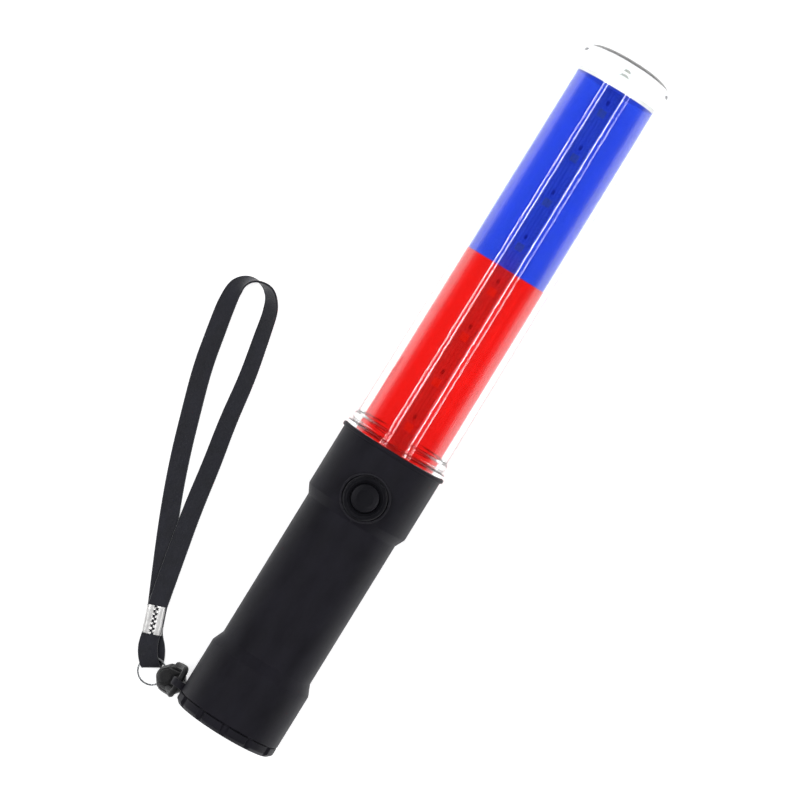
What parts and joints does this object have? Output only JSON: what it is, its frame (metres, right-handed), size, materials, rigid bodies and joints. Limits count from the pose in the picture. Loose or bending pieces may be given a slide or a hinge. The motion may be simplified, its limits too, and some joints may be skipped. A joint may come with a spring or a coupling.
{
  "type": "led traffic baton",
  "caption": "Hand-held light baton: clear tube over red and blue films, black handle with push button, screw cap at the butt and a ribbon wrist loop.",
  "frame": {"origin": "on the baton axis, in the middle of the slim grip", "axes": "+X along the axis from the butt to the light tip, +Z out through the push button, +Y on the side of the strap eye"},
  "size_m": [0.3295, 0.1192, 0.0489],
  "materials": {
    "black_abs": "satin moulded ABS",
    "clear_tube": "clear moulded polycarbonate",
    "red_film": "translucent red PET film",
    "blue_film": "translucent blue PET film",
    "white_plastic": "white moulded plastic",
    "button_plastic": "black gloss plastic",
    "circuit_board": "white solder mask",
    "led_body": "LED packages",
    "led_clear": "water-clear epoxy LED",
    "black_epoxy": "chip and resistor bodies",
    "screw_steel": "zinc-plated steel",
    "nickel": "nickel-plated strip and wire",
    "brass": "brass contact",
    "cell_jacket": "printed-free metal cell jacket",
    "rubber": "black rubber",
    "webbing": "woven polyester ribbon",
    "crimp_steel": "bright pressed steel",
    "wire_red": "red insulated wire",
    "wire_black": "black insulated wire"
  },
  "bodies": {
    "baton": {"handle_shell": "black_abs", "lens_tube": "clear_tube", "film_red": "red_film", "film_blue": "blue_film", "tip_disc": "white_plastic", "tip_led": "led_clear", "led_board": "circuit_board", "leds_red": "led_body", "leds_blue": "led_body", "resistors": "black_epoxy", "board_bulkhead": "white_plastic", "tube_gasket": "rubber", "tube_screws": "screw_steel", "button_bezel": "button_plastic", "switch_board": "circuit_board", "switch_body": "black_epoxy", "switch_screws": "screw_steel", "control_chip": "black_epoxy", "battery_tube": "white_plastic", "cell_rear": "cell_jacket", "cell_front": "cell_jacket", "contact_disc": "white_plastic", "positive_contact": "brass", "return_strip": "nickel", "strap_knot": "webbing", "strap_crimp": "crimp_steel", "short_loop": "webbing", "wrist_loop": "webbing", "wire_positive": "wire_red", "wire_led": "wire_red", "wire_return": "wire_black"},
    "button": {"button_cap": "button_plastic", "switch_stem": "white_plastic"},
    "cap_core": {"cap_contact": "nickel", "battery_spring": "nickel"},
    "screw_cap": {"butt_cap": "black_abs", "cap_seal": "rubber"},
    "wire_ring": {"strap_ring": "screw_steel"}
  },
  "joints": [
    {"name": "button_press", "type": "slide", "parent": "baton", "child": "button", "axis": [0, 0, -1], "range_m": [0, 0.0008], "stiffness_N_per_m": 800},
    {"name": "cap_travel", "type": "slide", "parent": "baton", "child": "cap_core", "axis": [-1, 0, 0], "range_m": [0, 0.009], "deforming": ["battery_spring"]},
    {"name": "cap_turn", "type": "hinge", "parent": "cap_core", "child": "screw_cap", "pos_m": [-0.06995, 0, 0], "axis": [-1, 0, 0], "range_deg": [0, 1080]},
    {"name": "ring_turn", "type": "hinge", "parent": "baton", "child": "wire_ring", "pos_m": [-0.06635, 0.0384, -0.02185], "axis": [0, 0, 1], "continuous": true}
  ],
  "couplings": [
    {"joint": "cap_travel", "follows": "cap_turn", "m_per_rad": 0.00047746}
  ]
}
